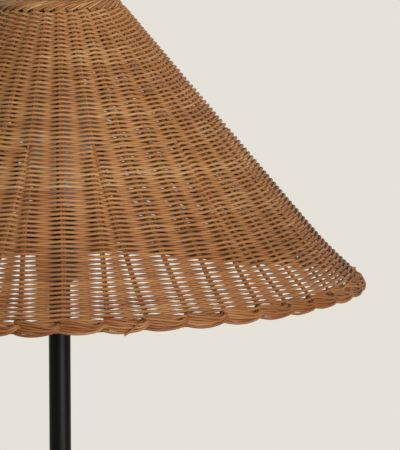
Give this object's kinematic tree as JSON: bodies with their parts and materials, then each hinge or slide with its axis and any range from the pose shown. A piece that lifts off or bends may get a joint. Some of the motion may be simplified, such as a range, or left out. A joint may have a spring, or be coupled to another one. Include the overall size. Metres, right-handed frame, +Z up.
{
  "type": "floor lamp",
  "caption": "Floor lamp with a wide hand-woven rattan cone shade, plaited borders, a slim black pole and a round steel base.",
  "frame": {"origin": "on the floor under the middle of the round base", "axes": "+Z up along the pole, -Y towards the front of the picture, +X to its right"},
  "size_m": [0.4973, 0.4974, 1.4994],
  "materials": {
    "black_metal": "satin black powder coat",
    "steel": "zinc plated",
    "brass": "plain",
    "nickel": "nickel plated",
    "rattan": "peeled rattan core, stained honey brown, satin",
    "black_plastic": "satin",
    "pale_ceramic": "plain",
    "white_plastic": "satin",
    "frosted": "frosted",
    "board": "plain",
    "pad": "matt foam rubber"
  },
  "bodies": {
    "lamp": {"floor_pad": "pad", "base_plate": "black_metal", "base_washer": "steel", "base_nut": "steel", "base_nipple": "steel", "foot_boss": "black_metal", "foot_grub_screw": "steel", "cable_bush": "black_plastic", "pole_lower": "black_metal", "pole_joiner_lower": "black_metal", "pole_middle": "black_metal", "pole_joiner_upper": "black_metal", "pole_upper": "black_metal", "pole_top_plug": "black_metal", "holder_nipple": "steel", "holder_lock_nut": "steel", "holder_cap": "black_plastic", "holder_body": "black_plastic", "terminal_block": "pale_ceramic", "terminal_screw_1": "brass", "terminal_screw_2": "brass", "centre_contact": "brass", "threaded_liner": "brass"},
    "shade": {"carrier_ring": "black_metal", "carrier_wire_1": "black_metal", "carrier_wire_2": "black_metal", "carrier_wire_3": "black_metal", "top_wire_ring": "black_metal", "shade_weave": "rattan", "rim_border": "rattan", "top_border": "rattan"},
    "clamp_ring": {"shade_clamp_ring": "black_plastic"},
    "bulb_tip": {"bulb_contact": "nickel"},
    "bulb": {"bulb_insulator": "black_plastic", "bulb_screw_cap": "nickel", "bulb_housing": "white_plastic", "bulb_driver_board": "board", "bulb_led_board": "white_plastic", "bulb_globe": "frosted"}
  },
  "joints": [
    {"name": "shade_turn", "type": "hinge", "parent": "lamp", "child": "shade", "pos_m": [0, 0, 1.3021], "axis": [0, 0, 1], "continuous": true},
    {"name": "clamp_release", "type": "slide", "parent": "lamp", "child": "clamp_ring", "axis": [0, 0, 1], "range_m": [0, 0.024]},
    {"name": "bulb_rise", "type": "slide", "parent": "lamp", "child": "bulb_tip", "axis": [0, 0, 1], "range_m": [0, 0.01634]},
    {"name": "bulb_turn", "type": "hinge", "parent": "bulb_tip", "child": "bulb", "pos_m": [0, 0, 1.3], "axis": [0, 0, 1], "range_deg": [0, 1620]}
  ],
  "couplings": [
    {"joint": "bulb_rise", "follows": "bulb_turn", "m_per_rad": 0.00057757}
  ]
}
